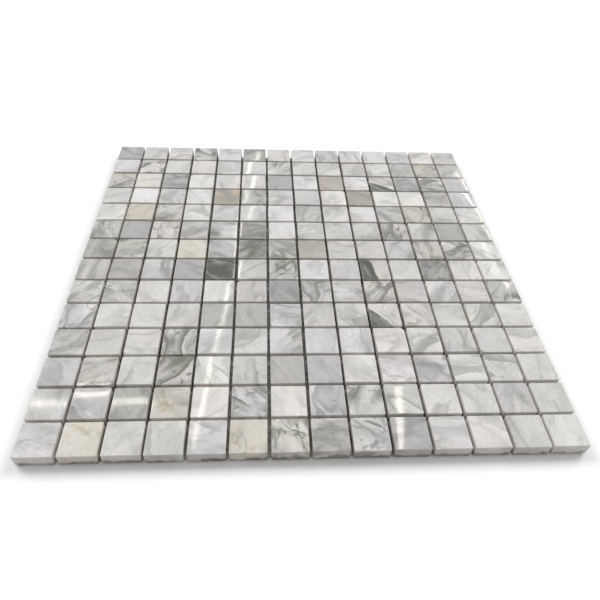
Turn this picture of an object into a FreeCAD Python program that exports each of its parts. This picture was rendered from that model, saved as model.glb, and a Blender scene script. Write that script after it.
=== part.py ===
import FreeCAD, Part
import os
import Sketcher

# Mesh-mounted mosaic tile sheet: a square grid of small polished marble chips, sawn to one size,
# glued face up on a laid glass-fibre net that holds them at an even joint until they are grouted.
# Millimetres. X runs along the front edge, Y towards the back edge, Z up.
# The origin is the middle of the sheet, on the plane that the net lies on.

# Driving dimensions: alias, value, what it is
SIZES = (
    ("chip_side", 20.0, "side of a square chip"),
    ("chip_thickness", 8.0, "chip, from its sawn back to its polished face"),
    ("arris_bevel", 0.4, "bevel round the polished face"),
    ("corner_bevel", 0.3, "bevel on the four upright corners"),
    ("joint_width", 1.8, "open joint between two chips"),
    ("chips_across", 14, "chips in a row"),
    ("chips_deep", 14, "rows"),
    ("yarn_width", 1.0, "net yarn, across"),
    ("yarn_thickness", 0.3, "net yarn, flattened height"),
    ("yarn_flat", 0.6, "flat underside and top of a yarn"),
    ("yarn_spacing", 5.0, "net yarns, middle to middle"),
    ("net_margin", 1.0, "net stops this far inside the chips' outer edge"),
    ("glue_thickness", 0.3, "glue between a chip's back and the net"),
    ("glue_margin", 0.8, "glue stops this far inside a chip's edge"),
)

# Expressions on the sheet's cells, shared by several features
PITCH = "(Sizes.chip_side + Sizes.joint_width)"
SHEET_WIDTH = f"(Sizes.chips_across * {PITCH} - Sizes.joint_width)"
SHEET_DEPTH = f"(Sizes.chips_deep * {PITCH} - Sizes.joint_width)"
NET_WIDTH = f"({SHEET_WIDTH} - 2 * Sizes.net_margin)"
NET_DEPTH = f"({SHEET_DEPTH} - 2 * Sizes.net_margin)"
GLUE_BOTTOM = "(2 * Sizes.yarn_thickness)"
CHIP_BOTTOM = f"({GLUE_BOTTOM} + Sizes.glue_thickness)"


def write_sizes(doc):
    """The spreadsheet that every sketch and feature reads."""
    table = doc.addObject("Spreadsheet::Sheet", "Sizes")
    for line, (alias, value, meaning) in enumerate(SIZES, start=1):
        table.set(f"A{line}", meaning)
        table.set(f"B{line}", str(value))
        table.setAlias(f"B{line}", alias)
    doc.recompute()
    return table


def new_body(doc, label):
    body = doc.addObject("PartDesign::Body", label)
    body.Label = label
    body.AllowCompound = True
    return body


def origin_feature(body, role):
    return next(feature for feature in body.Origin.OriginFeatures if feature.Role == role)


def place(body, x, y, z):
    """Binds the body's place to three expressions."""
    body.setExpression("Placement.Base.x", x)
    body.setExpression("Placement.Base.y", y)
    body.setExpression("Placement.Base.z", z)


def new_sketch(body, name, plane):
    sketch = body.newObject("Sketcher::SketchObject", name)
    sketch.AttachmentSupport = [(origin_feature(body, plane), "")]
    sketch.MapMode = "FlatFace"
    return sketch


def add_outline(sketch, points):
    """A closed outline of straight lines through the points, its corners joined."""
    corners = [FreeCAD.Vector(x, y, 0) for x, y in points]
    for start, end in zip(corners, corners[1:] + corners[:1]):
        sketch.addGeometry(Part.LineSegment(start, end), False)
    count = len(corners)
    for line in range(count):
        sketch.addConstraint(Sketcher.Constraint("Coincident", line, 2, (line + 1) % count, 1))


def bind(sketch, name, constraint, expression):
    """Adds a dimension to the sketch, names it and ties it to an expression."""
    index = sketch.addConstraint(constraint)
    sketch.renameConstraint(index, name)
    sketch.setExpression(f"Constraints.{name}", expression)


def square_sketch(body, name, side, expression):
    """A square from the body's origin towards +X and +Y."""
    sketch = new_sketch(body, name, "XY_Plane")
    add_outline(sketch, [(0, 0), (side, 0), (side, side), (0, side)])
    for line, direction in enumerate(("Horizontal", "Vertical", "Horizontal", "Vertical")):
        sketch.addConstraint(Sketcher.Constraint(direction, line))
    sketch.addConstraint(Sketcher.Constraint("Coincident", 0, 1, -1, 1))
    bind(sketch, "side_x", Sketcher.Constraint("DistanceX", 0, 1, 0, 2, side), expression)
    bind(sketch, "side_y", Sketcher.Constraint("DistanceY", 1, 1, 1, 2, side), expression)
    return sketch


def pad(body, name, sketch, length):
    feature = body.newObject("PartDesign::Pad", name)
    feature.Profile = sketch
    feature.setExpression("Length", length)
    body.Document.recompute()
    return feature


def bevel(body, name, base, size, chosen):
    """Chamfers the edges of the base that the test chooses."""
    feature = body.newObject("PartDesign::Chamfer", name)
    edges = enumerate(base.Shape.Edges, start=1)
    feature.Base = (base, [f"Edge{number}" for number, edge in edges if chosen(edge)])
    feature.setExpression("Size", size)
    body.Document.recompute()
    return feature


def is_upright(edge):
    return abs(edge.tangentAt(edge.FirstParameter).z) > 0.99


def pattern(body, name, first, second=None):
    """Repeats the body's whole shape. Each direction is an axis role, a spacing and a count."""
    feature = body.newObject("PartDesign::LinearPattern", name)
    feature.TransformMode = "Whole shape"
    for suffix, direction in (("", first), ("2", second)):
        if direction is None:
            continue
        role, spacing, count = direction
        setattr(feature, f"Direction{suffix}", (origin_feature(body, role), [""]))
        feature.setExpression(f"Length{suffix}", f"({count} - 1) * {spacing}")
        feature.setExpression(f"Occurrences{suffix}", count)
    body.Tip = feature
    body.Document.recompute()
    return feature


def chip_row(doc, sizes, row):
    """One row of separate chips, left to right. Row 1 is the front edge's."""
    body = new_body(doc, f"chip_row_{row:02d}")
    outline = square_sketch(body, f"chip_outline_{row:02d}", sizes.chip_side, "Sizes.chip_side")
    stone = pad(body, f"chip_stone_{row:02d}", outline, "Sizes.chip_thickness")
    corners = bevel(body, f"chip_corners_{row:02d}", stone, "Sizes.corner_bevel", is_upright)
    face_height = sizes.chip_thickness

    def is_on_face(edge):
        return all(abs(vertex.Z - face_height) < 1e-6 for vertex in edge.Vertexes)

    bevel(body, f"chip_arris_{row:02d}", corners, "Sizes.arris_bevel", is_on_face)
    pattern(body, f"chips_{row:02d}", ("X_Axis", PITCH, "Sizes.chips_across"))
    place(body, f"-{SHEET_WIDTH} / 2", f"-{SHEET_DEPTH} / 2 + {row - 1} * {PITCH}", CHIP_BOTTOM)
    return body


def glue_pads(doc, sizes):
    """The thin spread of glue under each chip, a little inside the chip's edge."""
    body = new_body(doc, "glue_pads")
    expression = "Sizes.chip_side - 2 * Sizes.glue_margin"
    side = sizes.chip_side - 2 * sizes.glue_margin
    outline = square_sketch(body, "glue_outline", side, expression)
    pad(body, "glue_spread", outline, "Sizes.glue_thickness")
    across = ("X_Axis", PITCH, "Sizes.chips_across")
    deep = ("Y_Axis", PITCH, "Sizes.chips_deep")
    pattern(body, "glue_under_chips", across, deep)
    place(
        body,
        f"-{SHEET_WIDTH} / 2 + Sizes.glue_margin",
        f"-{SHEET_DEPTH} / 2 + Sizes.glue_margin",
        GLUE_BOTTOM,
    )
    return body


def yarn_section(body, name, plane, sizes):
    """A flattened six-sided yarn, its underside on the plane's horizontal axis and its middle on the origin."""
    half = sizes.yarn_width / 2
    flat = sizes.yarn_flat / 2
    height = sizes.yarn_thickness
    sketch = new_sketch(body, name, plane)
    points = [(-flat, 0), (flat, 0), (half, height / 2), (flat, height), (-flat, height), (-half, height / 2)]
    add_outline(sketch, points)
    sketch.addConstraint(Sketcher.Constraint("Horizontal", 0))
    sketch.addConstraint(Sketcher.Constraint("Symmetric", 0, 1, 0, 2, -1, 1))
    sketch.addConstraint(Sketcher.Constraint("Symmetric", 3, 1, 3, 2, -2))
    sketch.addConstraint(Sketcher.Constraint("Symmetric", 1, 2, 4, 2, -2))
    bind(sketch, "underside", Sketcher.Constraint("DistanceX", 0, 1, 0, 2, 2 * flat), "Sizes.yarn_flat")
    bind(sketch, "top", Sketcher.Constraint("DistanceX", 3, 2, 3, 1, 2 * flat), "Sizes.yarn_flat")
    bind(sketch, "width", Sketcher.Constraint("DistanceX", 4, 2, 1, 2, 2 * half), "Sizes.yarn_width")
    bind(sketch, "waist", Sketcher.Constraint("DistanceY", 0, 2, 1, 2, height / 2), "Sizes.yarn_thickness / 2")
    bind(sketch, "height", Sketcher.Constraint("DistanceY", 0, 2, 2, 2, height), "Sizes.yarn_thickness")
    return sketch


def yarn_layer(doc, sizes, label, plane, spread_axis, length, spread, bottom):
    """Parallel yarns, evenly spaced about the middle of the sheet, as many as the net has room for."""
    body = new_body(doc, label)
    section = yarn_section(body, f"{label}_section", plane, sizes)
    yarn = pad(body, f"{label}_yarn", section, length)
    yarn.Midplane = True
    count = f"(floor(({spread} - Sizes.yarn_width) / Sizes.yarn_spacing) + 1)"
    pattern(body, f"{label}_yarns", (spread_axis, "Sizes.yarn_spacing", count))
    first = f"-({count} - 1) * Sizes.yarn_spacing / 2"
    if spread_axis == "X_Axis":
        place(body, first, "0", bottom)
    else:
        place(body, "0", first, bottom)
    return body


def check(doc, bodies):
    """Stops before anything is written if a feature failed or a shape is empty or broken."""
    doc.recompute()
    failed = [item.Name for item in doc.Objects if "Invalid" in item.State or "Error" in item.State]
    if failed:
        raise RuntimeError(f"these features failed: {failed}")
    for body in bodies:
        if body.Shape.isNull() or not body.Shape.isValid() or not body.Shape.Solids:
            raise RuntimeError(f"{body.Label} has no sound solid")


def main():
    doc = FreeCAD.newDocument("mosaic_tile_sheet")
    sizes = write_sizes(doc)
    rows = range(1, int(sizes.chips_deep) + 1)
    bodies = [chip_row(doc, sizes, row) for row in rows]
    bodies.append(glue_pads(doc, sizes))
    # The lower layer runs front to back. The upper one crosses it from side to side.
    bodies.append(yarn_layer(doc, sizes, "net_warp", "XZ_Plane", "X_Axis", NET_DEPTH, NET_WIDTH, "0"))
    bodies.append(
        yarn_layer(doc, sizes, "net_weft", "YZ_Plane", "Y_Axis", NET_WIDTH, NET_DEPTH, "Sizes.yarn_thickness")
    )
    check(doc, bodies)
    os.makedirs("parts", exist_ok=True)
    for body in bodies:
        body.Shape.exportStep(f"parts/{body.Label}.step")
        box = body.Shape.BoundBox
        print(
            f"{body.Label}: {len(body.Shape.Solids)} solids, {body.Shape.Volume:.1f} mm3, "
            f"x {box.XMin:.2f} to {box.XMax:.2f}, y {box.YMin:.2f} to {box.YMax:.2f}, "
            f"z {box.ZMin:.2f} to {box.ZMax:.2f}"
        )


main()
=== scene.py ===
# %% [markdown]
# A mosaic tile sheet: 196 small polished marble chips, glued face up on a glass-fibre net.
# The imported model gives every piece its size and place. It is loaded first and never moved, and each
# piece made here stands for one of its nodes: a row of chips, the glue, or a layer of the net.

# %% Load the fixed frame
import math
import random

import bmesh
import bpy
import numpy as np
from mathutils import Matrix, Vector


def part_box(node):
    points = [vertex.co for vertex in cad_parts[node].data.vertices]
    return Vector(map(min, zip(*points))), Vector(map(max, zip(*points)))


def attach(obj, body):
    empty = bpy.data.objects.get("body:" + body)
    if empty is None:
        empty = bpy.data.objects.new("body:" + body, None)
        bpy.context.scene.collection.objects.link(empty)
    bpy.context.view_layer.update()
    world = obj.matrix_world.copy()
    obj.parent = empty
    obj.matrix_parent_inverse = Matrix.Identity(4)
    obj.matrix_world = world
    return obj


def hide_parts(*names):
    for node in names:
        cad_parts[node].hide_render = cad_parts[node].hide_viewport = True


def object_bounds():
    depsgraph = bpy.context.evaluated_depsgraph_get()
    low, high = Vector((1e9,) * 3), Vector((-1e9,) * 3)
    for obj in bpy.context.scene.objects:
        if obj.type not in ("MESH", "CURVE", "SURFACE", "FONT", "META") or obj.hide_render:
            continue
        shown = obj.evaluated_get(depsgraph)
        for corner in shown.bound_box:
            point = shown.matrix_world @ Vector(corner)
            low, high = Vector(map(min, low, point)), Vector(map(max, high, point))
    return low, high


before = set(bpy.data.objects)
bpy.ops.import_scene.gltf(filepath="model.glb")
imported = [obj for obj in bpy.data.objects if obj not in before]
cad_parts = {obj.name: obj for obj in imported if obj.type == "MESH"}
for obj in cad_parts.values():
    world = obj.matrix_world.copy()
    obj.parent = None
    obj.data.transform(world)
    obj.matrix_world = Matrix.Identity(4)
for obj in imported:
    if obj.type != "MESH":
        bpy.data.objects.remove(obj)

cad_low, cad_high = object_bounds()
print("frame nodes:", len(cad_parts), "box:", tuple(cad_low), tuple(cad_high))

# %% [markdown]
# The sizes could be typed in again, but they are read from the loaded nodes, so that a changed model
# still gets chips that fit. A row of chips is a node: its depth is a chip's side, and the step to the
# next row is the pitch.

# %% Read the sizes
MM = 0.001
rows = sorted(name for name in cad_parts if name.startswith("chip_row_"))
row_low, row_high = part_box(rows[0])
CHIP_SIDE = row_high.y - row_low.y
CHIP_THICKNESS = row_high.z - row_low.z
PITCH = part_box(rows[1])[0].y - row_low.y
CHIPS_ACROSS = round((row_high.x - row_low.x + PITCH - CHIP_SIDE) / PITCH)
print(f"{len(rows)} rows of {CHIPS_ACROSS} chips, side {CHIP_SIDE / MM:.2f} mm, pitch {PITCH / MM:.2f} mm")

# %% [markdown]
# Every piece starts as a primitive and is shaped in edit mode. An operator acts on all that is selected,
# so these helpers empty the selection first, and then pick edges or faces by where they are.

# %% Helpers for modelling
TOLERANCE = 0.001 * MM  # lengths that differ by less count as equal


def start_alone():
    """Deselects everything: the loaded nodes and the last piece made are still selected."""
    bpy.ops.object.select_all(action="DESELECT")


def work_on(piece):
    """Makes the piece the only one selected, and active."""
    start_alone()
    piece.select_set(True)
    bpy.context.view_layer.objects.active = piece


def pick(piece, kind, test):
    """In edit mode, selects only the edges or the faces that pass the test."""
    mesh = bmesh.from_edit_mesh(piece.data)
    bpy.ops.mesh.select_mode(type=kind)
    bpy.ops.mesh.select_all(action="DESELECT")
    for part in mesh.edges if kind == "EDGE" else mesh.faces:
        part.select = test(part)
    mesh.select_flush_mode()
    bmesh.update_edit_mesh(piece.data)


def pick_edges(piece, test):
    """Selects only the edges whose two ends pass the test."""
    pick(piece, "EDGE", lambda edge: test(edge.verts[0].co, edge.verts[1].co))


def pick_faces(piece, test):
    """Selects only the faces whose normal passes the test."""
    pick(piece, "FACE", lambda face: test(face.normal))


# %% [markdown]
# A chip is sawn from a polished slab. Its face is flat and glossy, the saw leaves the sides matt, and
# the edges are eased a little so that they don't cut. A cube at the chip's size is the start: the four
# upright edges are bevelled, then the edges round the face. A narrow inset inside the face keeps its
# middle flat when the bevel is shaded smooth. The underside is never seen, so it keeps its sharp edge.

# %% Model one sound chip
CHIP_SHRINK = 0.08 * MM  # a chip is sawn this much under its place in the grid
TILT_ROOM = 0.36 * MM  # and this much thinner, which leaves room to lie a little askew
CORNER_BEVEL = 0.6 * MM
ARRIS_BEVEL = 0.34 * MM
FACE_INSET = 0.12 * MM
LEVEL_FROM = 0.999  # a face is level if its normal stands at least this high
CHIP_SMOOTH_UNDER = math.radians(50)

chip_side = CHIP_SIDE - CHIP_SHRINK
chip_thickness = CHIP_THICKNESS - TILT_ROOM
half_side = chip_side / 2


def is_upright(start, end):
    return abs(start.x - end.x) + abs(start.y - end.y) < TOLERANCE


def is_round_the_face(start, end):
    return min(start.z, end.z) > chip_thickness - TOLERANCE


def model_sound_chip():
    start_alone()
    bpy.ops.mesh.primitive_cube_add(size=1, location=(0, 0, chip_thickness / 2))
    chip = bpy.context.object
    chip.name = "chip_sound"
    chip.scale = (chip_side, chip_side, chip_thickness)
    bpy.ops.object.transform_apply(location=True, rotation=False, scale=True)
    bpy.ops.object.mode_set(mode="EDIT")
    pick_edges(chip, is_upright)
    bpy.ops.mesh.bevel(offset=CORNER_BEVEL, segments=2, affect="EDGES")
    pick_edges(chip, is_round_the_face)
    bpy.ops.mesh.bevel(offset=ARRIS_BEVEL, segments=2, affect="EDGES")
    pick_faces(chip, lambda normal: normal.z > LEVEL_FROM)
    bpy.ops.mesh.inset(thickness=FACE_INSET, depth=0)
    bpy.ops.object.mode_set(mode="OBJECT")
    bpy.ops.object.shade_smooth_by_angle(angle=CHIP_SMOOTH_UNDER)
    return chip


sound_chip = model_sound_chip()
print("one sound chip has", len(sound_chip.data.polygons), "faces")

# %% [markdown]
# Marble is brittle, so a few chips have lost a flake at a corner, which breaks off on a slant. Such a
# corner could be pulled in point by point. It is simpler to let the bisect operator cut it off a copy of
# the sound chip with a slanted plane.

# %% Break flakes off copies of the chip
# Each flake has the corner that it is missing from, the depth of the cut, and how far it leans upwards.
NICKS = {
    "chip_corner_nick": [((1, 1), 1.1 * MM, 1.0)],
    "chip_two_nicks": [((1, -1), 0.8 * MM, 0.8), ((-1, 1), 1.2 * MM, 1.1)],
}


def flake_slope(corner, lean):
    """The direction that the broken face looks in."""
    return Vector((corner[0], corner[1], lean)).normalized()


def cut_off(place, direction):
    """In edit mode, cuts off what lies beyond a plane, and closes the cut."""
    bpy.ops.mesh.select_all(action="SELECT")
    bpy.ops.mesh.bisect(plane_co=place, plane_no=direction, use_fill=True, clear_outer=True)


def model_nicked_chip(name, nicks):
    work_on(sound_chip)
    bpy.ops.object.duplicate()
    chip = bpy.context.object
    chip.name = name
    bpy.ops.object.mode_set(mode="EDIT")
    for corner, depth, lean in nicks:
        rim = Vector((corner[0] * half_side, corner[1] * half_side, chip_thickness))
        slope = flake_slope(corner, lean)
        cut_off(rim - slope * depth, slope)
    bpy.ops.object.mode_set(mode="OBJECT")
    bpy.ops.object.shade_smooth_by_angle(angle=CHIP_SMOOTH_UNDER)
    return chip


nicked_chips = [model_nicked_chip(name, nicks) for name, nicks in NICKS.items()]
for chip in nicked_chips:
    print(chip.name, "has", len(chip.data.polygons), "faces")

# %% [markdown]
# The finishes come next. A material is a small graph of nodes, and these helpers keep each node on one
# line: an input takes a plain value, or another node's output to link from.

# %% Helpers for nodes
COLOR_A, COLOR_B, COLOR_RESULT = 6, 7, 2  # the Mix node's colour sockets


def add(tree, kind, inputs=None, **properties):
    """Adds a node, sets its properties, and fills or links its inputs."""
    made = tree.nodes.new(kind)
    for name, value in properties.items():
        setattr(made, name, value)
    for name, value in (inputs or {}).items():
        if isinstance(value, bpy.types.NodeSocket):
            tree.links.new(value, made.inputs[name])
        else:
            made.inputs[name].default_value = value
    return made


def calc(tree, operation, first, second=0.0, clamp=False):
    """A Math node's result."""
    made = add(tree, "ShaderNodeMath", {0: first, 1: second}, operation=operation, use_clamp=clamp)
    return made.outputs[0]


def vector_calc(tree, operation, first, second=(0, 0, 0), scale=1.0):
    """A Vector Math node's vector result."""
    inputs = {0: first, "Scale": scale} if operation == "SCALE" else {0: first, 1: second}
    return add(tree, "ShaderNodeVectorMath", inputs, operation=operation).outputs[0]


def remap(tree, value, low, high, to_low=0.0, to_high=1.0):
    """Turns the range low to high into to_low to to_high, with soft ends."""
    inputs = {"Value": value, "From Min": low, "From Max": high, "To Min": to_low, "To Max": to_high}
    return add(tree, "ShaderNodeMapRange", inputs, interpolation_type="SMOOTHSTEP").outputs[0]


def mix_color(tree, factor, first, second, blend_type="MIX"):
    inputs = {0: factor, COLOR_A: first, COLOR_B: second}
    made = add(tree, "ShaderNodeMix", inputs, data_type="RGBA", blend_type=blend_type)
    return made.outputs[COLOR_RESULT]


def noise(tree, place, scale, detail=2.0, roughness=0.5):
    """A Noise Texture node's outputs: one value, and a colour of three values, both about 0.5."""
    inputs = {"Vector": place, "Scale": scale, "Detail": detail, "Roughness": roughness}
    return add(tree, "ShaderNodeTexNoise", inputs).outputs


def swing(tree, value, width):
    """Turns a noise's value into one that swings by half the width to each side of zero."""
    return calc(tree, "MULTIPLY", calc(tree, "SUBTRACT", value, 0.5), width)


# %% [markdown]
# Marble is never one colour: clouds, veins and stains run through it. They could be painted on each chip,
# but one pattern in space is simpler. Each chip reads it at a place of its own, as if it were sawn out of
# an endless block there, so its sides continue what its face shows.
# The pattern is a node group, because two finishes use it. Its unit is a chip's side. Four numbers from 0
# to 1 say what stone it is: Tone from grey to white, Warmth up to cream, Veining, and Darkness, the share
# that dark stone takes. Plain noise looks like smoke, so the place is bent first, by a slow push and a
# quick one, and then drawn out, which makes long shapes, as in stone that has flowed.

# %% Start the marble figure
QUALITIES = ("Tone", "Warmth", "Veining", "Darkness")
GRAIN_LENGTH = (1.0, 0.32, 1.0)  # a number under 1 makes the shapes longer that way

marble = bpy.data.node_groups.new("marble_figure", "ShaderNodeTree")
for name in ("Place", "Split Place"):
    marble.interface.new_socket(name, in_out="INPUT", socket_type="NodeSocketVector")
for name in QUALITIES:
    marble.interface.new_socket(name, in_out="INPUT", socket_type="NodeSocketFloat")
marble.interface.new_socket("Color", in_out="OUTPUT", socket_type="NodeSocketColor")
given = marble.nodes.new("NodeGroupInput").outputs
wanted = marble.nodes.new("NodeGroupOutput").inputs
in_block = given["Place"]


def push(scale, detail, roughness, width):
    """A noise's three values as a push that swings by half the width to each side."""
    color = noise(marble, in_block, scale, detail, roughness)["Color"]
    centred = vector_calc(marble, "SUBTRACT", color, (0.5, 0.5, 0.5))
    return vector_calc(marble, "SCALE", centred, scale=width)


bent = vector_calc(marble, "ADD", in_block, push(scale=0.5, detail=2, roughness=0.5, width=0.6))
rough = vector_calc(marble, "ADD", bent, push(scale=5.0, detail=4, roughness=0.6, width=0.1))
drawn_out = vector_calc(marble, "MULTIPLY", rough, GRAIN_LENGTH)
print("the start of the figure:", len(marble.nodes), "nodes")

# %% [markdown]
# Each layer of the figure is a colour that is mixed in where a mask says. A patch is where a noise is
# high. A line is where it passes its middle value, as a map's contour is where the ground passes a
# height. Real veins are often crisp on one side and fade on the other, so each side has its own width.
# Every mask is shifted to its own part of the noise, or all would follow one another.

# %% Masks for the figure
def patches(scale, detail, low, high, shift, roughness=0.55, where=drawn_out):
    """A mask of soft-edged patches: 0 where the noise is under low, and 1 where it is over high."""
    moved = vector_calc(marble, "ADD", where, (shift, 0, 0))
    return remap(marble, noise(marble, moved, scale, detail, roughness)[0], low, high)


def lines(scale, detail, crisp, soft, shift):
    """A mask of lines. Crisp and soft say how far the noise changes on either side of one."""
    moved = vector_calc(marble, "ADD", drawn_out, (shift, 0, 0))
    value = noise(marble, moved, scale, detail, roughness=0.45)[0]
    rise = remap(marble, value, 0.5 - crisp, 0.5)
    fall = remap(marble, value, 0.5, 0.5 + soft, to_low=1.0, to_high=0.0)
    return calc(marble, "MINIMUM", rise, fall)


def share(mask, plain, veined):
    """The mask times a strength that grows with Veining from plain to veined."""
    strength = calc(marble, "ADD", calc(marble, "MULTIPLY", given["Veining"], veined - plain), plain)
    return calc(marble, "MULTIPLY", mask, strength, clamp=True)


def darken(color, mask, depth):
    """The colour, darkened by the depth where the mask is 1."""
    left = calc(marble, "SUBTRACT", 1.0, calc(marble, "MULTIPLY", mask, depth))
    return mix_color(marble, 1.0, color, left, "MULTIPLY")


# %% [markdown]
# Under all the rest lies the light stone, grey to white. One such colour alone would look like plastic,
# so two very slow noises tint it, from lavender to straw and from rosy to green, and smoky clouds and a
# fine mottling lie in it.

# %% Light stone
GREY_STONE = (0.465, 0.459, 0.448, 1)
WHITE_STONE = (0.86, 0.85, 0.828, 1)
LAVENDER_TINT = (0.994, 0.99, 1.034, 1)
STRAW_TINT = (1.0, 0.998, 0.972, 1)
ROSY_TINT = (1.006, 0.989, 0.998, 1)
GREEN_TINT = (0.993, 1.011, 0.993, 1)
GREY_CLOUD = (0.33, 0.327, 0.32, 1)
CLOUD_CLEARNESS = 0.35  # the share of the stone's own colour in a cloud
MOTTLING_DEPTH = 0.08

stone = mix_color(marble, given["Tone"], GREY_STONE, WHITE_STONE)
for first, second, low, shift in ((LAVENDER_TINT, STRAW_TINT, 0.3, 5), (ROSY_TINT, GREEN_TINT, 0.34, 131)):
    to_second = patches(scale=0.25, detail=0, low=low, high=1 - low, shift=shift, where=in_block)
    tint = mix_color(marble, to_second, first, second)
    stone = mix_color(marble, 1.0, stone, tint, "MULTIPLY")
clouds = patches(scale=1.5, detail=5, low=0.38, high=0.68, shift=3, roughness=0.6)
cloud = mix_color(marble, CLOUD_CLEARNESS, GREY_CLOUD, stone)
stone = mix_color(marble, share(clouds, plain=0.36, veined=1.0), stone, cloud)
mottling = remap(marble, noise(marble, in_block, scale=7.0, detail=5, roughness=0.65)[0], 0.3, 0.7)
stone = darken(stone, mottling, MOTTLING_DEPTH)
print("up to the light stone:", len(marble.nodes), "nodes")

# %% [markdown]
# Such marble once broke up and grew together again, so it has angular pieces of different shades, some
# with a dark seam. A Voronoi texture makes them: its Color is one chance colour a piece, and its distance
# to the edge draws the seams, soft with a sharp core. Seams all round would look like paving, so a mask
# opens only some.

# %% Angular pieces and seams
PIECE_STRETCH = (1.35, 0.6, 1.0)
SHADE_DEPTH = 0.6
SOFT_SEAM = 0.17  # the seams' half widths, where a piece is about 1 wide
SHARP_SEAM = 0.035

pieces = {"Vector": vector_calc(marble, "MULTIPLY", rough, PIECE_STRETCH), "Scale": 1.0}
chance_color = add(marble, "ShaderNodeTexVoronoi", pieces).outputs["Color"]
shade = add(marble, "ShaderNodeSeparateColor", {0: chance_color}).outputs[0]
shaded = share(remap(marble, shade, 0.3, 0.9), plain=0.1, veined=0.45)
stone = darken(stone, shaded, SHADE_DEPTH)
to_seam = add(marble, "ShaderNodeTexVoronoi", pieces, feature="DISTANCE_TO_EDGE").outputs["Distance"]
opened = patches(scale=1.0, detail=2, low=0.42, high=0.6, shift=53, where=bent)


def seam(half_width, veined):
    """A mask of seams, darkest in their middle."""
    line = remap(marble, to_seam, 0.0, half_width, to_low=1.0, to_high=0.0)
    return share(calc(marble, "MULTIPLY", line, opened), plain=0.04, veined=veined)


seams = calc(marble, "ADD", seam(SOFT_SEAM, veined=0.45), seam(SHARP_SEAM, veined=0.4), clamp=True)
print("up to the seams:", len(marble.nodes), "nodes")

# %% [markdown]
# A few chips are cream, or beige where the stone is dark, and iron has stained the warmest olive or gold.
# They could be patterns of their own. Mixed in by Warmth instead, a chip can be anything between.

# %% Cream, beige and stains
CREAM_STONE = (0.67, 0.634, 0.515, 1)
BEIGE_STONE = (0.36, 0.32, 0.262, 1)
OLIVE_STAIN = (0.42, 0.38, 0.24, 1)
GOLD_STAIN = (0.62, 0.5, 0.33, 1)

warm_patches = patches(scale=0.7, detail=2, low=0.12, high=0.48, shift=11)
warm_share = calc(marble, "MULTIPLY", given["Warmth"], warm_patches, clamp=True)
warm_stone = mix_color(marble, given["Tone"], BEIGE_STONE, CREAM_STONE)
stone = mix_color(marble, warm_share, stone, warm_stone)
stains = patches(scale=1.9, detail=4, low=0.54, high=0.7, shift=23, where=rough)
stain_strength = remap(marble, given["Warmth"], 0.1, 0.7, to_low=0.0, to_high=0.8)
to_gold = patches(scale=0.6, detail=1, low=0.42, high=0.58, shift=29, where=bent)
stain = mix_color(marble, to_gold, OLIVE_STAIN, GOLD_STAIN)
stone = mix_color(marble, calc(marble, "MULTIPLY", stains, stain_strength), stone, stain)
print("up to the stains:", len(marble.nodes), "nodes")

# %% [markdown]
# The eye sees the grey veins first: long bands that come and go, hairlines, dark smoke drawn out along
# the grain, and small spots. Mixed in one by one, they would turn black where they cross. With the seams
# they are one mask instead, which takes the strongest of them at each point.

# %% Veins
GREY_VEIN = (0.15, 0.15, 0.146, 1)
GREEN_VEIN = (0.155, 0.157, 0.122, 1)

comes_and_goes = patches(scale=0.8, detail=1, low=0.36, high=0.56, shift=37, where=bent)
bands = lines(scale=1.2, detail=2, crisp=0.026, soft=0.12, shift=41)
bands = share(calc(marble, "MULTIPLY", bands, comes_and_goes), plain=0.26, veined=1.0)
hairs_show = patches(scale=1.1, detail=1, low=0.4, high=0.55, shift=89, where=bent)
hairs = lines(scale=0.9, detail=3, crisp=0.007, soft=0.012, shift=83)
hairs = share(calc(marble, "MULTIPLY", hairs, hairs_show), plain=0.16, veined=1.0)
smoke = patches(scale=1.3, detail=6, low=0.5, high=0.68, shift=61, roughness=0.62)
smoke = share(smoke, plain=0.0, veined=0.9)
spots = patches(scale=3.6, detail=4, low=0.54, high=0.64, shift=113, roughness=0.6, where=rough)
spots = share(calc(marble, "MULTIPLY", spots, comes_and_goes), plain=0.0, veined=0.85)
veins = seams
for mask in (bands, hairs, smoke, spots):
    veins = calc(marble, "MAXIMUM", veins, mask)
greenness = patches(scale=0.5, detail=1, low=0.4, high=0.6, shift=71, where=bent)
vein = mix_color(marble, greenness, GREY_VEIN, GREEN_VEIN)
stone = mix_color(marble, veins, stone, vein)
print("up to the veins:", len(marble.nodes), "nodes")

# %% [markdown]
# A few chips were sawn where a dark green-grey stone meets the light one. Noise alone would put dark blots
# everywhere, so the chip's own place decides: the dark comes in from one side, with a sharp edge that
# wanders. At Darkness 0 the edge lies past the chip's corners, and at 1 it has crossed the chip. Paler
# flecks and lines lie in the dark.

# %% Dark stone
DARK_STONE = (0.09, 0.095, 0.08, 1)
DARK_FLECK = (0.27, 0.28, 0.24, 1)
EDGE_START = 0.75  # where the edge lies at Darkness 0, in chips' sides from the middle
EDGE_TRAVEL = 1.5  # how far it goes until Darkness 1
EDGE_WANDER = 0.22
EDGE_SOFTNESS = 0.03

wander = swing(marble, noise(marble, in_block, scale=2.2)[0], EDGE_WANDER)
side = add(marble, "ShaderNodeSeparateXYZ", {0: given["Split Place"]}).outputs["X"]
edge = calc(marble, "SUBTRACT", EDGE_START, calc(marble, "MULTIPLY", given["Darkness"], EDGE_TRAVEL))
beyond = calc(marble, "SUBTRACT", calc(marble, "ADD", side, wander), edge)
fleck_patches = patches(scale=2.2, detail=5, low=0.45, high=0.72, shift=97, roughness=0.65)
fleck_lines = lines(scale=1.0, detail=4, crisp=0.01, soft=0.05, shift=101)
flecks = calc(marble, "MAXIMUM", fleck_patches, fleck_lines)
dark = mix_color(marble, flecks, DARK_STONE, DARK_FLECK)
stone = mix_color(marble, remap(marble, beyond, 0.0, EDGE_SOFTNESS), stone, dark)
print("up to the dark stone:", len(marble.nodes), "nodes")

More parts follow.
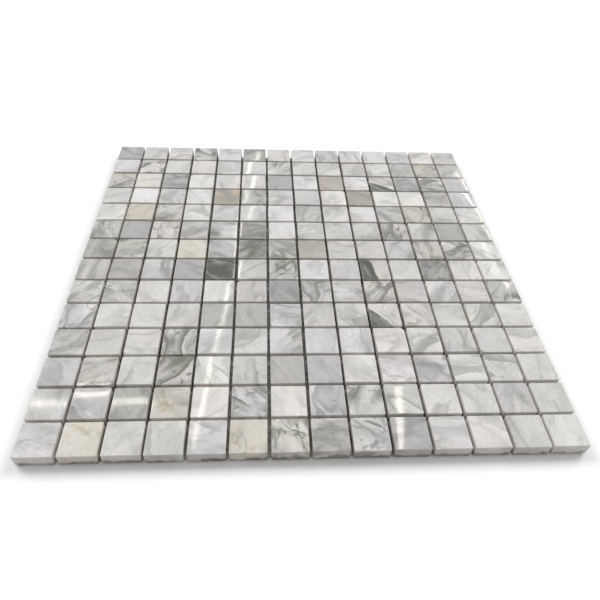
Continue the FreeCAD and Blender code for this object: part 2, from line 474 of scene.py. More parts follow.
# %% [markdown]
# Seen close, marble is made of crystals, each a shade lighter or darker than its neighbour. A fine noise
# would blur them, so a Voronoi texture gives each one a single tone.

# %% Crystals
CRYSTALS_PER_SIDE = 28.0  # which makes a crystal about 0.7 mm wide
CRYSTAL_DEPTH = 0.1

crystals = add(marble, "ShaderNodeTexVoronoi", {"Vector": in_block, "Scale": CRYSTALS_PER_SIDE})
crystal_tone = add(marble, "ShaderNodeSeparateColor", {0: crystals.outputs["Color"]}).outputs[0]
marble.links.new(darken(stone, crystal_tone, CRYSTAL_DEPTH), wanted["Color"])
print("the whole marble figure:", len(marble.nodes), "nodes")

# %% [markdown]
# Both marble finishes read what is marked on a chip: its place in the block, the same place from its own
# middle, for the dark stone's edge, and the four numbers.

# %% Read a chip's figure
def attribute(tree, name, output):
    """What is marked on the mesh under this name: a vector as Vector, a number as Fac."""
    return add(tree, "ShaderNodeAttribute", attribute_name=name).outputs[output]


def chip_figure(tree):
    """The colour of the marble at this chip's place in the block."""
    inputs = {
        "Place": attribute(tree, "block_place", "Vector"),
        "Split Place": attribute(tree, "split_place", "Vector"),
    }
    for name in QUALITIES:
        inputs[name] = attribute(tree, name.lower(), "Fac")
    return add(tree, "ShaderNodeGroup", inputs, node_tree=marble).outputs["Color"]


def in_chip(tree):
    """X, Y and Z in the chip, in chips' sides: the middle is 0 in X and Y, and the foot 0 in Z."""
    return add(tree, "ShaderNodeSeparateXYZ", {0: attribute(tree, "chip_place", "Vector")}).outputs


# %% [markdown]
# A finish is a material with one Principled shader, whose colour, roughness and relief the next cells
# link to nodes. The relief is too shallow to model, so a Bump node only bends the light at the surface.

# %% Helpers for finishes
def new_material(name):
    """A material with a Principled shader. Returns it, its tree and the shader's inputs."""
    material = bpy.data.materials.new(name)
    material.use_nodes = True
    tree = material.node_tree
    return material, tree, tree.nodes["Principled BSDF"].inputs


def object_place(tree):
    """Where a point is on the sheet, in metres."""
    return add(tree, "ShaderNodeTexCoord").outputs["Object"]


def raise_relief(tree, shader, height, strength, distance):
    """Lets the surface look raised by the distance where the height is 1."""
    inputs = {"Height": height, "Strength": strength, "Distance": distance}
    tree.links.new(add(tree, "ShaderNodeBump", inputs).outputs[0], shader["Normal"])


# %% [markdown]
# The polished face is nearly a mirror, so lamps show in it as bright bars. A perfect mirror would look
# like glass, but a polished slab is never dead flat, so a bump of some hundredths of a millimetre bends
# the bars a little, and rolls the face off towards its edge. Some chips take the polish worse, so each has
# a dullness of its own, which blurs its bars. Along the eased edge the polish is lost, and bruised marble
# there looks paler.

# %% Polished marble
BRUISED_MARBLE = (0.78, 0.77, 0.74, 1)
BRUISED_SHARE = 0.35
WORN_FROM = 0.472  # in chips' sides from the middle
WORN_ALL = 0.492
RAGGED = 0.02
FINEST_POLISH = 0.02  # the least roughness
RUBBED = 0.035  # what cloudy patches add to it
WORN = 0.3  # and what the worn edge adds
ROLLED_POWER = 6.0  # the higher, the nearer to the edge the face starts to roll off
ROLLED_SHARE = 0.3
POLISH_RELIEF = 0.05 * MM

polished, tree, shader = new_material("polished_marble")
place = object_place(tree)
spot = in_chip(tree)
from_middle = calc(tree, "MAXIMUM", calc(tree, "ABSOLUTE", spot["X"]), calc(tree, "ABSOLUTE", spot["Y"]))
ragged = swing(tree, noise(tree, place, scale=900, detail=3)[0], RAGGED)
worn = remap(tree, calc(tree, "ADD", from_middle, ragged), WORN_FROM, WORN_ALL)
bruised = calc(tree, "MULTIPLY", worn, BRUISED_SHARE)
tree.links.new(mix_color(tree, bruised, chip_figure(tree), BRUISED_MARBLE), shader["Base Color"])
rubbed = calc(tree, "MULTIPLY", noise(tree, place, scale=140, detail=4)[0], RUBBED)
dull = calc(tree, "ADD", attribute(tree, "dullness", "Fac"), FINEST_POLISH)
polish = calc(tree, "ADD", calc(tree, "ADD", rubbed, dull), calc(tree, "MULTIPLY", worn, WORN))
tree.links.new(polish, shader["Roughness"])
swell = noise(tree, place, scale=42, detail=1)[0]
rolled = calc(tree, "POWER", calc(tree, "MULTIPLY", from_middle, 2.0), ROLLED_POWER)
relief = calc(tree, "SUBTRACT", swell, calc(tree, "MULTIPLY", rolled, ROLLED_SHARE))
raise_relief(tree, shader, relief, strength=1.0, distance=POLISH_RELIEF)
print("polished marble:", len(tree.nodes), "nodes")

# %% [markdown]
# The sawn sides are matt. The blade leaves fine level scratches, and its slurry of water and stone dust
# dries on the stone. A flat brown would hide the marble, so the same figure runs through under it, and the
# slurry is laid on in blotches. Towards the foot each side is painted near black over the figure, with a
# ragged top: painted shade where the chip stands on the glue.

# %% Sawn marble
SLURRY = (0.56, 0.49, 0.43, 1)
# Painted shade: the near black at the foot of each side, where the chip stands on the glue.
PAINTED_FOOT_SHADE = (0.14, 0.118, 0.1, 1)
FOOT_SHADE_WANDER = 0.7  # how much the top of the painted foot shade wanders, in chips' sides
FOOT_SHADE_UP_TO = 0.04
FOOT_SHADE_ENDS = 0.17
FOOT_SHADE_COVER = 0.5
SAWN_ROUGHNESS = 0.85
SCRATCH_STRETCH = (120, 120, 5200)  # fine in Z only, so the scratches lie level
SCRATCH_RELIEF = 0.08 * MM

sawn, tree, shader = new_material("sawn_marble")
place = object_place(tree)
foot_shade_wander = swing(tree, noise(tree, place, scale=130, detail=6, roughness=0.62)[0], FOOT_SHADE_WANDER)
height = calc(tree, "ADD", in_chip(tree)["Z"], foot_shade_wander)
# Painted shade: the foot of each side is darkened towards near black, up to a ragged line.
foot_shade_mask = remap(tree, height, FOOT_SHADE_UP_TO, FOOT_SHADE_ENDS, to_low=1.0, to_high=0.0)
slurry_and_foot_shade = mix_color(tree, foot_shade_mask, SLURRY, PAINTED_FOOT_SHADE)
blotches = noise(tree, place, scale=260, detail=4, roughness=0.6)[0]
thin_cover = remap(tree, blotches, 0.3, 0.7, to_low=0.05, to_high=0.5)
slurry_and_shade_cover = calc(tree, "ADD", thin_cover, calc(tree, "MULTIPLY", foot_shade_mask, FOOT_SHADE_COVER), clamp=True)
tree.links.new(mix_color(tree, slurry_and_shade_cover, chip_figure(tree), slurry_and_foot_shade), shader["Base Color"])
shader["Roughness"].default_value = SAWN_ROUGHNESS
stretched = vector_calc(tree, "MULTIPLY", place, SCRATCH_STRETCH)
scratches = noise(tree, stretched, scale=1.0, detail=3, roughness=0.7)[0]
raise_relief(tree, shader, scratches, strength=0.6, distance=SCRATCH_RELIEF)
print("sawn marble:", len(tree.nodes), "nodes")

# %% [markdown]
# What points up is polished, and the sides, the underside and the broken flakes are matt. Faces could be
# told by their number, but another bevel would renumber them. So a flake's face is picked by its slope,
# which no other face has.

# %% Give the chips their finishes
MATT_UNDER = 0.2  # a face whose normal stands lower than this is a side or the underside
SAME_SLOPE = math.radians(1)


def finish_chip(chip, slopes):
    """Slot 0 is polished and slot 1 sawn. Slopes are the directions that the flakes look in."""
    work_on(chip)
    chip.data.materials.append(polished)
    chip.data.materials.append(sawn)
    bpy.ops.object.mode_set(mode="EDIT")

    def is_matt(normal):
        broken = any(normal.angle(slope) < SAME_SLOPE for slope in slopes)
        return broken or normal.z < MATT_UNDER

    pick_faces(chip, is_matt)
    chip.active_material_index = 1
    bpy.ops.object.material_slot_assign()
    bpy.ops.object.mode_set(mode="OBJECT")


finish_chip(sound_chip, [])
for chip in nicked_chips:
    finish_chip(chip, [flake_slope(corner, lean) for corner, depth, lean in NICKS[chip.name]])
print("matt faces of the sound chip:", sum(face.material_index for face in sound_chip.data.polygons))

# %% [markdown]
# Most chips are white or pale grey, some are grey or veined, and a few are cream, beige, dark slate-grey
# with strong veins, all dark, or split between light and dark. Numbers drawn freely would come out
# middling, so a chip first gets a kind, and then its numbers from that kind's ranges. Chips that stand out
# have their kind by name, at their row from the front and column from the left. Lots with a fixed seed
# choose the rest.

# %% Choose each chip's stone
# For each kind, the ranges of its qualities: Tone, Warmth, Veining and Darkness.
KINDS = {
    "white": ((0.78, 1.0), (0.0, 0.15), (0.0, 0.3), (0, 0)),
    "pale": ((0.52, 0.8), (0.0, 0.12), (0.05, 0.45), (0, 0)),
    "grey": ((0.0, 0.48), (0.0, 0.08), (0.05, 0.45), (0, 0)),
    "veined": ((0.65, 1.0), (0.0, 0.4), (0.65, 1.0), (0, 0)),
    "cream": ((0.75, 1.0), (0.45, 1.0), (0.0, 0.25), (0, 0)),
    "beige": ((0.1, 0.3), (0.6, 0.75), (0.1, 0.3), (0, 0)),
    "slate": ((0.0, 0.05), (0.0, 0.1), (0.6, 1.0), (0, 0)),
    "split": ((0.8, 1.0), (0.2, 0.6), (0.1, 0.5), (0.3, 0.5)),
    "dark": ((0.4, 0.6), (0.1, 0.3), (0.5, 0.8), (0.85, 1.0)),
}
SHARES = {"white": 36, "pale": 37, "grey": 11, "veined": 16}
STANDING_OUT = {
    "cream": [(1, 2), (1, 6), (2, 4), (8, 4), (10, 2), (12, 2)],
    "beige": [(8, 8), (11, 5), (11, 10), (12, 9)],
    "slate": [(7, 12), (8, 6), (9, 6), (12, 3), (14, 6)],
    "dark": [(7, 5)],
    "split": [(7, 10), (12, 11), (5, 10)],
    "veined": [(1, 7), (1, 8), (2, 6), (2, 9), (3, 2), (4, 4), (8, 7), (9, 3), (9, 5)],
    "grey": [(2, 3), (3, 7), (10, 8)],
}
stone_lot = random.Random(14)
named_kind = {spot: kind for kind, spots in STANDING_OUT.items() for spot in spots}


def stone_of(row, column):
    """The chip's four qualities."""
    kind = stone_lot.choices(list(SHARES), weights=list(SHARES.values()))[0]
    kind = named_kind.get((row, column), kind)
    return [stone_lot.uniform(low, high) for low, high in KINDS[kind]]


print(len(named_kind), "chips stand out")

# %% [markdown]
# Chips, yarns and patches of glue are each modelled once and copied many times. Each copy has a mesh of
# its own, so it can be moved and marked alone. The copies for one node are then joined.

# %% Helpers for copies
def place_copy(name, mesh):
    """Puts an object with the mesh into the scene."""
    copy = bpy.data.objects.new(name, mesh)
    bpy.context.scene.collection.objects.link(copy)
    return copy


def join_as(name, copies):
    """Joins the copies into one piece."""
    start_alone()
    for copy in copies:
        copy.select_set(True)
    bpy.context.view_layer.objects.active = copies[0]
    bpy.ops.object.join()
    piece = bpy.context.object
    piece.name = name
    return piece


def mark(mesh, name, values):
    """Stores one number for the whole mesh, or one vector for each of its points."""
    is_vector = isinstance(values, np.ndarray)
    made = mesh.attributes.new(name, "FLOAT_VECTOR" if is_vector else "FLOAT", "POINT")
    if is_vector:
        made.data.foreach_set("vector", values.astype(np.float32).ravel())
    else:
        made.data.foreach_set("value", np.full(len(mesh.vertices), values, np.float32))


def grid_place(row, column, height, shift_x=0.0, shift_y=0.0):
    """The middle of a chip's place. Rows count from the front and columns from the left, from 1."""
    x = row_low.x + CHIP_SIDE / 2 + (column - 1) * PITCH + shift_x
    y = row_low.y + CHIP_SIDE / 2 + (row - 1) * PITCH + shift_y
    return Vector((x, y, height))


# %% [markdown]
# The chips are set in a tray by hand, so none lies quite straight. An array modifier would lay them alike,
# so each is shifted, turned and tilted by itself. The tilt matters most: it breaks a lamp's reflection
# from chip to chip. A chip at the sheet's edge may not stick out, so its shift stops there.

# %% Draw a chip's place
SHIFT = 0.22 * MM
TURN = math.radians(0.35)
TILT = math.radians(0.7)
laying_lot = random.Random(5)


def shift_along(number, count, turn):
    """A random shift that keeps the first and the last chip inside the sheet's edge."""
    reach = half_side * (math.cos(turn) + abs(math.sin(turn))) + chip_thickness * math.sin(TILT)
    room = CHIP_SIDE / 2 - reach
    low = -room if number == 1 else -SHIFT
    high = room if number == count else SHIFT
    return min(max(laying_lot.uniform(-SHIFT, SHIFT), low), high)


def askew(row, column):
    """The move that lays a chip in its place, a little askew."""
    turn = laying_lot.uniform(-TURN, TURN)
    lean = TILT * math.sqrt(laying_lot.random())
    way = laying_lot.uniform(0, 2 * math.pi)
    tilt = Matrix.Rotation(lean, 4, Vector((math.cos(way), math.sin(way), 0)))
    shift_x = shift_along(column, CHIPS_ACROSS, turn)
    shift_y = shift_along(row, len(rows), turn)
    place = grid_place(row, column, row_low.z + TILT_ROOM / 2, shift_x, shift_y)
    return Matrix.Translation(place) @ Matrix.Rotation(turn, 4, "Z") @ tilt


# %% [markdown]
# What the finishes read is stored in each chip's mesh, as attributes. They could read where the chip lies
# on the sheet, but then veins would run on from chip to chip. So each chip gets a chance place in the
# block, turned by a chance angle, with its kind of stone and its polish.

# %% Lay the chips
NICKED_SHARE = 0.09
BLOCK_SPREAD = 60.0  # the chips come from a part of the block this wide, in chips' sides
DULLEST = 0.05  # what the least polished chip adds to the roughness
polish_lot = random.Random(23)


def lay_chip(row, column):
    """A new mesh for one chip, marked and in its place."""
    nicked = laying_lot.random() < NICKED_SHARE
    template = laying_lot.choice(nicked_chips) if nicked else sound_chip
    mesh = template.data.copy()
    mesh.transform(Matrix.Rotation(laying_lot.randrange(4) * math.pi / 2, 4, "Z"))
    points = np.array([vertex.co for vertex in mesh.vertices])
    mark(mesh, "chip_place", points / CHIP_SIDE)
    grain = Matrix.Rotation(laying_lot.uniform(0, 2 * math.pi), 3, "Z")
    corner = np.array([laying_lot.uniform(0, BLOCK_SPREAD) for axis in range(3)])
    turned = points @ np.array(grain).T / CHIP_SIDE
    mark(mesh, "split_place", turned)
    mark(mesh, "block_place", turned + corner)
    for name, value in zip(QUALITIES, stone_of(row, column)):
        mark(mesh, name.lower(), value)
    mark(mesh, "dullness", DULLEST * polish_lot.random() ** 2)
    mesh.transform(askew(row, column))
    return mesh


def lay_row(row):
    """Joins a row's chips into the piece that stands for the row's node."""
    chips = []
    for column in range(1, CHIPS_ACROSS + 1):
        chips.append(place_copy(f"chip_{row:02d}_{column:02d}", lay_chip(row, column)))
    piece = join_as(f"marble_row_{row:02d}", chips)
    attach(piece, "root")
    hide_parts(f"chip_row_{row:02d}")
    return piece


marble_rows = [lay_row(row) for row in range(1, len(rows) + 1)]
for template in (sound_chip, *nicked_chips):
    bpy.data.objects.remove(template)
print(len(marble_rows), "marble rows, with", sum(len(row.data.polygons) for row in marble_rows), "faces")

# %% [markdown]
# Under the chips lies the net of flattened glass yarns: one layer runs front to back, and the other
# crosses on top of it. The yarns' places are read from the loaded nodes, so that those made here lie there.

# %% Measure the net
YARN_GAP = 2 * MM  # yarns are further apart than this
ROUND_TO = 6  # decimals of a metre, so that points of one edge come out equal


def yarn_places(node, axis):
    """The middles of a layer's yarns, along the axis that they are spread on, and a yarn's width."""
    across = np.array([vertex.co[axis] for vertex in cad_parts[node].data.vertices])
    edges = np.unique(np.round(across, ROUND_TO))
    yarns = np.split(edges, np.where(np.diff(edges) > YARN_GAP)[0] + 1)
    return [float(yarn.min() + yarn.max()) / 2 for yarn in yarns], float(np.ptp(yarns[0]))


warp_places, YARN_WIDTH = yarn_places("net_warp", 0)
weft_places, _ = yarn_places("net_weft", 1)
YARN_SPACING = warp_places[1] - warp_places[0]
print(f"{len(warp_places)} and {len(weft_places)} yarns, {YARN_SPACING / MM:.1f} mm apart")

# %% [markdown]
# Where two yarns cross they are pressed wide and stuck with resin, and between crossings they draw
# together. A plain rod would miss that. It repeats at each crossing, so only one repeat is modelled: a
# short open cylinder with six sides, cut across twice, its ends drawn in. An array modifier repeats it
# along the yarn, and two cuts trim the yarn to its length.

# %% Model one yarn
YARN_SIDES = 6
DRAWN_IN = 0.72  # a yarn's width between two crossings, for 1 where it is pressed
YARN_SMOOTH_UNDER = math.radians(70)


def shape_repeat(yarn, middle, thickness):
    """Gives the cylinder its size, centred on the first crossing, and draws its two ends in."""
    yarn.dimensions = (YARN_WIDTH, YARN_SPACING, thickness)
    yarn.location = (0, middle, thickness / 2)
    bpy.ops.object.transform_apply(location=True, rotation=False, scale=True)
    end = YARN_SPACING / 2 - TOLERANCE
    bpy.ops.object.mode_set(mode="EDIT")
    pick_edges(yarn, lambda start, stop: abs(start.y - stop.y) > YARN_SPACING / 2)
    bpy.ops.mesh.subdivide(number_cuts=2)
    pick_edges(yarn, lambda start, stop: min(abs(point.y - middle) for point in (start, stop)) > end)
    bpy.ops.transform.resize(value=(DRAWN_IN, 1, 1), center_override=(0, middle, thickness / 2))
    bpy.ops.object.mode_set(mode="OBJECT")


def repeat_along(yarn, count):
    repeat = yarn.modifiers.new("repeat", "ARRAY")
    repeat.use_relative_offset = False
    repeat.use_constant_offset = True
    repeat.constant_offset_displace = (0, YARN_SPACING, 0)
    repeat.count = count
    repeat.use_merge_vertices = True
    repeat.merge_threshold = TOLERANCE
    bpy.ops.object.modifier_apply(modifier=repeat.name)


def trim_to(length):
    """Cuts the active yarn off at both ends."""
    bpy.ops.object.mode_set(mode="EDIT")
    for side in (-1, 1):
        cut_off((0, side * length / 2, 0), (0, side, 0))
    bpy.ops.object.mode_set(mode="OBJECT")


def model_yarn(name, length, crossings, thickness):
    """A yarn along Y, its middle over the origin and its underside at height 0."""
    start_alone()
    bpy.ops.mesh.primitive_cylinder_add(
        vertices=YARN_SIDES,
        end_fill_type="NOTHING",
        rotation=(math.pi / 2, math.pi / YARN_SIDES, 0),
    )
    yarn = bpy.context.object
    yarn.name = name
    bpy.ops.object.transform_apply(location=False, rotation=True, scale=False)
    shape_repeat(yarn, crossings[0], thickness)
    repeat_along(yarn, len(crossings))
    trim_to(length)
    bpy.ops.object.shade_smooth_by_angle(angle=YARN_SMOOTH_UNDER)
    return yarn


# %% [markdown]
# Glass yarn is a flat bundle of fine bright strands, stiffened with a resin that dries a little yellow.
# The strands are far too many to model. They follow the yarn, so the material reads the yarn's own place,
# kept as an attribute, and noise stretched along it draws and raises them.

# %% Glass yarn
STRAND_STRETCH = (9000, 260, 9000)  # far finer across the yarn than along it
SHADED_STRAND = (0.42, 0.41, 0.37, 1)
BRIGHT_STRAND = (0.86, 0.85, 0.8, 1)
RESIN = (0.68, 0.65, 0.54, 1)
STRAND_RELIEF = 0.06 * MM

yarn_finish, tree, shader = new_material("glass_yarn")
place = attribute(tree, "yarn_place", "Vector")
stretched = vector_calc(tree, "MULTIPLY", place, STRAND_STRETCH)
strands = noise(tree, stretched, scale=1.0)[0]
resin = remap(tree, noise(tree, place, scale=120, detail=3)[0], 0.4, 0.7)
glass = mix_color(tree, strands, SHADED_STRAND, BRIGHT_STRAND)
tree.links.new(mix_color(tree, resin, glass, RESIN), shader["Base Color"])
tree.links.new(remap(tree, resin, 0.0, 1.0, to_low=0.6, to_high=0.35), shader["Roughness"])
raise_relief(tree, shader, strands, strength=0.7, distance=STRAND_RELIEF)
print("glass yarn:", len(tree.nodes), "nodes")

# %% [markdown]
# A machine makes the net, so its yarns lie nearly straight, each only a little off its line. One yarn is
# copied to every place of its layer. The side-to-side layer is laid along Y too and then turned, so that
# one helper serves both.

# %% Lay the two layers
YARN_SHIFT = 0.12 * MM
YARN_TURN = math.radians(0.02)
net_lot = random.Random(9)


def lay_yarns(name, node, places, crossings, along_x):
    """Copies one yarn to each place of a layer, and joins them into the piece for the node."""
    low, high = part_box(node)
    length = high.x - low.x if along_x else high.y - low.y
    yarn = model_yarn(f"{name}_one", length, crossings, high.z - low.z)
    yarn.data.materials.append(yarn_finish)
    points = np.array([vertex.co for vertex in yarn.data.vertices])
    copies = []
    for number, middle in enumerate(places):
        mesh = yarn.data.copy()
        mark(mesh, "yarn_place", points + np.array([number * YARN_SPACING, 0, 0]))
        shifted = middle + net_lot.uniform(-YARN_SHIFT, YARN_SHIFT)
        mesh.transform(Matrix.Rotation(net_lot.uniform(-YARN_TURN, YARN_TURN), 4, "Z"))
        mesh.transform(Matrix.Translation((shifted, 0, low.z)))
        if along_x:
            mesh.transform(Matrix.Rotation(-math.pi / 2, 4, "Z"))
        copies.append(place_copy(f"{name}_{number:02d}", mesh))
    bpy.data.objects.remove(yarn)
    piece = join_as(name, copies)
    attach(piece, "root")
    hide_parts(node)
    print(name, "has", len(piece.data.polygons), "faces")


lay_yarns("net_warp_yarns", "net_warp", warp_places, weft_places, along_x=False)
lay_yarns("net_weft_yarns", "net_weft", weft_places, warp_places, along_x=True)

# %% [markdown]
# White adhesive holds each chip to the net. It was spread wet, so a patch has a wandering outline, and
# the upper yarns are half sunk in it. A block would look too straight in the joints. Instead a plane's
# corners are rounded and its sides cut, its outline is moved at random, and it is extruded down to the
# middle of the upper yarns.

# %% Model the adhesive patches
pads_low, pads_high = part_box("glue_pads")
weft_low, weft_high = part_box("net_weft")
PATCH_SIDE = pads_high.x - pads_low.x - (CHIPS_ACROSS - 1) * PITCH
PATCH_LOW = (weft_low.z + weft_high.z) / 2
PATCH_SEEDS = (3, 8, 21)
# Shares of the patch's side: the plane's size, the corners' rounding, the length from which an edge is a
# side, and how far the outline wanders.
SPREAD = 0.95
ROUNDING = 0.16
LONG_EDGE = 0.3
OUTLINE_WANDER = 0.03
FOOT_BEVEL = 0.12 * MM
PATCH_SMOOTH_UNDER = math.radians(60)


def model_patch(seed):
    start_alone()
    bpy.ops.mesh.primitive_plane_add(size=PATCH_SIDE * SPREAD)
    patch = bpy.context.object
    patch.name = f"adhesive_patch_{seed}"
    bpy.ops.object.mode_set(mode="EDIT")
    bpy.ops.mesh.select_all(action="SELECT")
    bpy.ops.mesh.bevel(offset=PATCH_SIDE * ROUNDING, segments=3, affect="VERTICES")
    pick_edges(patch, lambda start, stop: (start - stop).length > PATCH_SIDE * LONG_EDGE)
    bpy.ops.mesh.subdivide(number_cuts=4)
    bpy.ops.mesh.select_all(action="SELECT")
    bpy.ops.transform.vertex_random(offset=OUTLINE_WANDER * PATCH_SIDE, seed=seed, wait_for_input=False)
    bpy.ops.transform.resize(value=(1, 1, 0), center_override=(0, 0, 0))
    bpy.ops.mesh.extrude_region_move(TRANSFORM_OT_translate={"value": (0, 0, PATCH_LOW - pads_high.z)})
    pick_edges(patch, lambda start, stop: max(start.z, stop.z) < -TOLERANCE)
    bpy.ops.mesh.bevel(offset=FOOT_BEVEL, segments=1, affect="EDGES")
    bpy.ops.mesh.select_all(action="SELECT")
    bpy.ops.mesh.normals_make_consistent(inside=False)
    bpy.ops.object.mode_set(mode="OBJECT")
    bpy.ops.object.shade_smooth_by_angle(angle=PATCH_SMOOTH_UNDER)
    return patch


patch_shapes = [model_patch(seed) for seed in PATCH_SEEDS]
print("an adhesive patch has", len(patch_shapes[0].data.polygons), "faces")

# %% [markdown]
# Dried adhesive is milky white where it is thick, and yellower and duller where it is thin, with small pits
# that air has left. Pits and lumps are too small to model, so a Voronoi texture and a noise colour them,
# the pits darker with painted shade, and a bump raises them.

# %% Dried adhesive
THICK_ADHESIVE = (0.82, 0.81, 0.76, 1)
THIN_ADHESIVE = (0.6, 0.58, 0.52, 1)
# Painted shade in the pits.
PIT_SHADE = (0.5, 0.48, 0.42, 1)
LUMP_RELIEF = 0.12 * MM

adhesive, tree, shader = new_material("dried_adhesive")
place = object_place(tree)
thin = remap(tree, noise(tree, place, scale=160, detail=5, roughness=0.6)[0], 0.35, 0.7)
milky = mix_color(tree, thin, THICK_ADHESIVE, THIN_ADHESIVE)
from_pit = add(tree, "ShaderNodeTexVoronoi", {"Vector": place, "Scale": 900.0}).outputs["Distance"]
out_of_pit = remap(tree, from_pit, 0.08, 0.22)
# Painted shade: each pit is coloured darker than the adhesive round it.
tree.links.new(mix_color(tree, out_of_pit, PIT_SHADE, milky), shader["Base Color"])
tree.links.new(remap(tree, thin, 0.0, 1.0, to_low=0.38, to_high=0.62), shader["Roughness"])
lumps = noise(tree, place, scale=420, detail=3)[0]
lumps_and_pits = calc(tree, "ADD", lumps, calc(tree, "MULTIPLY", out_of_pit, 0.5))
raise_relief(tree, shader, lumps_and_pits, strength=0.8, distance=LUMP_RELIEF)
print("dried adhesive:", len(tree.nodes), "nodes")

# %% [markdown]
# One patch goes under each chip. Alike patches would make a pattern in the joints, so each place draws
# one of the shapes and one of four turns by lot.

# %% Lay the adhesive
patch_lot = random.Random(31)


def lay_patches():
    """Copies a patch under each chip, and joins them into the piece for the glue's node."""
    copies = []
    for row in range(1, len(rows) + 1):
        for column in range(1, CHIPS_ACROSS + 1):
            mesh = patch_lot.choice(patch_shapes).data.copy()
            turn = Matrix.Rotation(patch_lot.randrange(4) * math.pi / 2, 4, "Z")
            mesh.transform(Matrix.Translation(grid_place(row, column, pads_high.z)) @ turn)
            copies.append(place_copy(f"patch_{row:02d}_{column:02d}", mesh))
    piece = join_as("glue_film", copies)
    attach(piece, "root")
    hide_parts("glue_pads")
    return piece


for patch in patch_shapes:
    patch.data.materials.append(adhesive)
glue_film = lay_patches()
for patch in patch_shapes:
    bpy.data.objects.remove(patch)
print("glue film has", len(glue_film.data.polygons), "faces")

# %% [markdown]
# The sheet lies on a level white floor, which keeps its soft shadow. A white floor throws a lot of light
# back and would wash out the sides, so only the camera sees it pure white. To other rays it is a little
# darker.

# %% Floor
FLOOR_SIZE = 40.0
FLOOR_FOR_LIGHT = (0.8, 0.8, 0.8, 1)
FLOOR_FOR_CAMERA = (1, 1, 1, 1)

start_alone()
bpy.ops.mesh.primitive_plane_add(size=FLOOR_SIZE)
floor = bpy.context.object
floor.name = "floor"
floor_finish, tree, shader = new_material("white_floor")
seen = add(tree, "ShaderNodeLightPath").outputs["Is Camera Ray"]
tree.links.new(mix_color(tree, seen, FLOOR_FOR_LIGHT, FLOOR_FOR_CAMERA), shader["Base Color"])
shader["Roughness"].default_value = 1.0
shader["Specular IOR Level"].default_value = 0.0
floor.data.materials.append(floor_finish)
print("floor:", FLOOR_SIZE, "m wide")

# %% [markdown]
# The light is soft and plain, at a level at which colours come out about as they are written. A world that
# lights from all round would leave the sheet flat, so two wide suns stand behind it, one to each side.
# They darken the front edge and leave a short shadow before it. Neither shines along a joint, so the
# joints stay dark. Rays from the camera and off the polish see a white world and no sun.

# %% World and main lamps
WORLD_STRENGTH = 0.5
SUN_STRENGTH = 1.35
SUN_WIDTH = math.radians(32)
SUN_FROM_ABOVE = math.radians(49)
SUN_FROM_BEHIND = math.radians(50)

world = bpy.data.worlds.new("white_studio")
bpy.context.scene.world = world
world.use_nodes = True
tree = world.node_tree
path = add(tree, "ShaderNodeLightPath").outputs
seen = calc(tree, "MAXIMUM", path["Is Camera Ray"], path["Is Glossy Ray"])
seen = calc(tree, "MAXIMUM", seen, path["Is Transmission Ray"])
strength = add(tree, "ShaderNodeMapRange", {"Value": seen, "To Min": WORLD_STRENGTH}).outputs[0]
tree.nodes["Background"].inputs["Color"].default_value = (1, 1, 1, 1)
tree.links.new(strength, tree.nodes["Background"].inputs["Strength"])
for name, side in (("sun_behind_left", 1), ("sun_behind_right", -1)):
    start_alone()
    # A sun lights the same from anywhere. Only its turn matters.
    bpy.ops.object.light_add(type="SUN", location=(-side, 1, 1))
    sun = bpy.context.object
    sun.name = name
    sun.rotation_euler = (-SUN_FROM_ABOVE, 0, side * SUN_FROM_BEHIND)
    sun.data.energy = SUN_STRENGTH
    sun.data.angle = SUN_WIDTH
    sun.visible_glossy = False
print("world", WORLD_STRENGTH, "and suns", SUN_STRENGTH)

# %% [markdown]
# The camera looks down on the sheet from in front, a little from the left and slightly tipped. Its place
# and turn were not tried by eye but fitted, so that the sheet's corners fall where the photographed
# square has its corners.

# %% Camera
CAMERA_PLACE = (-0.02549, -0.28602, 0.25937)
CAMERA_YAW = math.radians(5.7747)
CAMERA_PITCH = math.radians(-45.5506)
CAMERA_ROLL = math.radians(4.1082)
CAMERA_LENS = 31.695
NEAREST_SEEN = 0.01

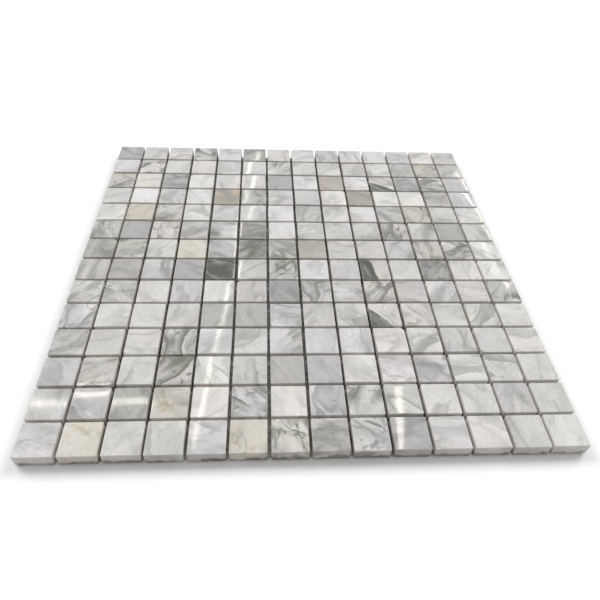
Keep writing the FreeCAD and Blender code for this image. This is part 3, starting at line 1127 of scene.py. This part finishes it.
bpy.ops.object.camera_add(location=CAMERA_PLACE)
camera = bpy.context.object
yaw = Matrix.Rotation(-CAMERA_YAW, 3, "Z")
pitch = Matrix.Rotation(math.pi / 2 + CAMERA_PITCH, 3, "X")
roll = Matrix.Rotation(CAMERA_ROLL, 3, "Z")
camera.rotation_euler = (yaw @ pitch @ roll).to_euler()
camera.data.lens = CAMERA_LENS
camera.data.clip_start = NEAREST_SEEN
bpy.context.scene.camera = camera
bpy.context.scene.view_settings.view_transform = "Standard"
print("camera at", CAMERA_PLACE)

# %% [markdown]
# Long tube lamps hang over the sheet, and the polish shows each one as a bright bar, broken up from chip
# to chip. Moved about by hand, they would take many tries to mirror in the right place. So the bars are
# placed first, each by its two ends on the sheet, and the mirror law says where its tube must hang: on
# from the bar, away from the camera, and the higher it hangs the further. The tubes are here for the
# polish alone, so diffuse rays and the camera don't see them.

# %% Tube lamps
TUBE_HEIGHT = 1.2
TUBE_COLOR = (1.0, 0.96, 0.84)
# For each tube, the X and Y of its bar's two ends, its width, and how bright it is next to a white of 1.
BARS = {
    "tube_left": ((-0.0307, 0.1497), (-0.0599, -0.1539), 0.0145, 10.0),
    "tube_middle": ((0.0565, -0.1086), (0.0455, -0.186), 0.024, 12.0),
    "tube_across": ((-0.1578, -0.1176), (-0.0893, -0.1176), 0.022, 12.5),
    "tube_right": ((0.1458, 0.1146), (0.1458, -0.0313), 0.0155, 10.0),
}


def mirrored(bar_end):
    """The point at the tubes' height that the camera sees in the sheet's face at the bar's end."""
    face = cad_high.z
    seen_from = Vector(CAMERA_PLACE)
    onward = Vector(bar_end) - seen_from.xy
    return Vector(bar_end) + onward * (TUBE_HEIGHT - face) / (seen_from.z - face)


def hang_tube(name, start, end, width, brightness):
    """An area lamp that faces down, from one end of the tube to the other."""
    run = end - start
    middle = (start + end) / 2
    start_alone()
    bpy.ops.object.light_add(type="AREA", location=(middle.x, middle.y, TUBE_HEIGHT))
    lamp = bpy.context.object
    lamp.name = name
    lamp.rotation_euler = (0, 0, math.atan2(run.y, run.x))
    lamp.data.shape = "RECTANGLE"
    lamp.data.size = run.length
    lamp.data.size_y = width
    lamp.data.energy = brightness * math.pi * run.length * width
    lamp.data.color = TUBE_COLOR
    lamp.visible_camera = False
    lamp.visible_diffuse = False


for name, (start, end, width, brightness) in BARS.items():
    hang_tube(name, mirrored(start), mirrored(end), width, brightness)
print(len(BARS), "tube lamps")
